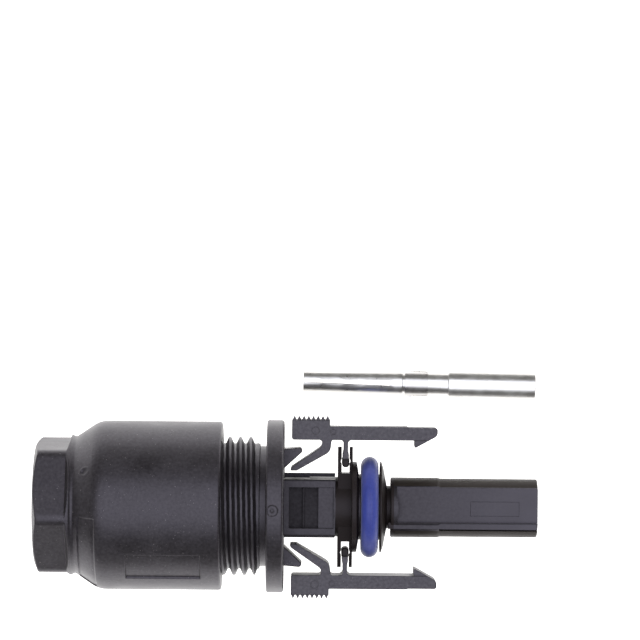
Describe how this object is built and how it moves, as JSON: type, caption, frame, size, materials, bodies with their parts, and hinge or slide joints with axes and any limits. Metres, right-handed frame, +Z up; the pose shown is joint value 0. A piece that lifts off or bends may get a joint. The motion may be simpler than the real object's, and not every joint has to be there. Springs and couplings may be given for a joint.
{
  "type": "solar cable connector",
  "caption": "Single-pole solar cable coupler with screw-down cable gland, flanged threaded housing, rocker latch arms, sealed keyed nose and a loose crimp contact.",
  "frame": {"origin": "on the connector's axis at the flange's front face, inside the contact cavity", "axes": "+X along the connector towards the nose, +Y towards the left latch arm, +Z up as the connector lies on its side"},
  "size_m": [0.0728, 0.0333, 0.025],
  "materials": {
    "black_polyamide": "satin moulded black with fine spark-eroded grain",
    "latch_polyamide": "satin moulded charcoal with flow marks",
    "cage_polyamide": "plain moulded dark grey",
    "black_rubber": "matte elastomer",
    "blue_silicone": "satin blue elastomer",
    "tinned_brass": "turned and tin-plated, satin silver",
    "spring_steel": "stamped stainless spring strip"
  },
  "bodies": {
    "housing": {"threaded_housing": "black_polyamide", "front_insulator": "black_polyamide", "nose_seal_ring": "blue_silicone"},
    "gland_insert": {"clamping_cage": "cage_polyamide", "cable_seal": "black_rubber"},
    "screw_cap": {"screw_cap": "black_polyamide"},
    "left_latch": {"latch_arm_left": "latch_polyamide"},
    "right_latch": {"latch_arm_right": "latch_polyamide"},
    "loose_contact": {"crimp_contact": "tinned_brass", "contact_retaining_clip": "spring_steel"}
  },
  "joints": [
    {"name": "gland_slide", "type": "slide", "parent": "housing", "child": "gland_insert", "axis": [1, 0, 0], "range_m": [-0.01201, 0.00586]},
    {"name": "cap_turn", "type": "hinge", "parent": "gland_insert", "child": "screw_cap", "pos_m": [0, 0, 0], "axis": [1, 0, 0], "range_deg": [-2880, 1404]},
    {"name": "left_latch_rock", "type": "hinge", "parent": "housing", "child": "left_latch", "pos_m": [0.00887, 0.0066, 0], "axis": [0, 0, 1], "range_deg": [0, 5.5], "stiffness_Nm_per_rad": 0.02},
    {"name": "right_latch_rock", "type": "hinge", "parent": "housing", "child": "right_latch", "pos_m": [0.00887, -0.0066, 0], "axis": [0, 0, -1], "range_deg": [0, 5.5], "stiffness_Nm_per_rad": 0.02},
    {"name": "contact_lift", "type": "slide", "parent": "housing", "child": "loose_contact", "axis": [0, 0, 1], "range_m": [0, 0.04]}
  ],
  "couplings": [
    {"joint": "gland_slide", "follows": "cap_turn", "m_per_rad": 0.00023873}
  ]
}
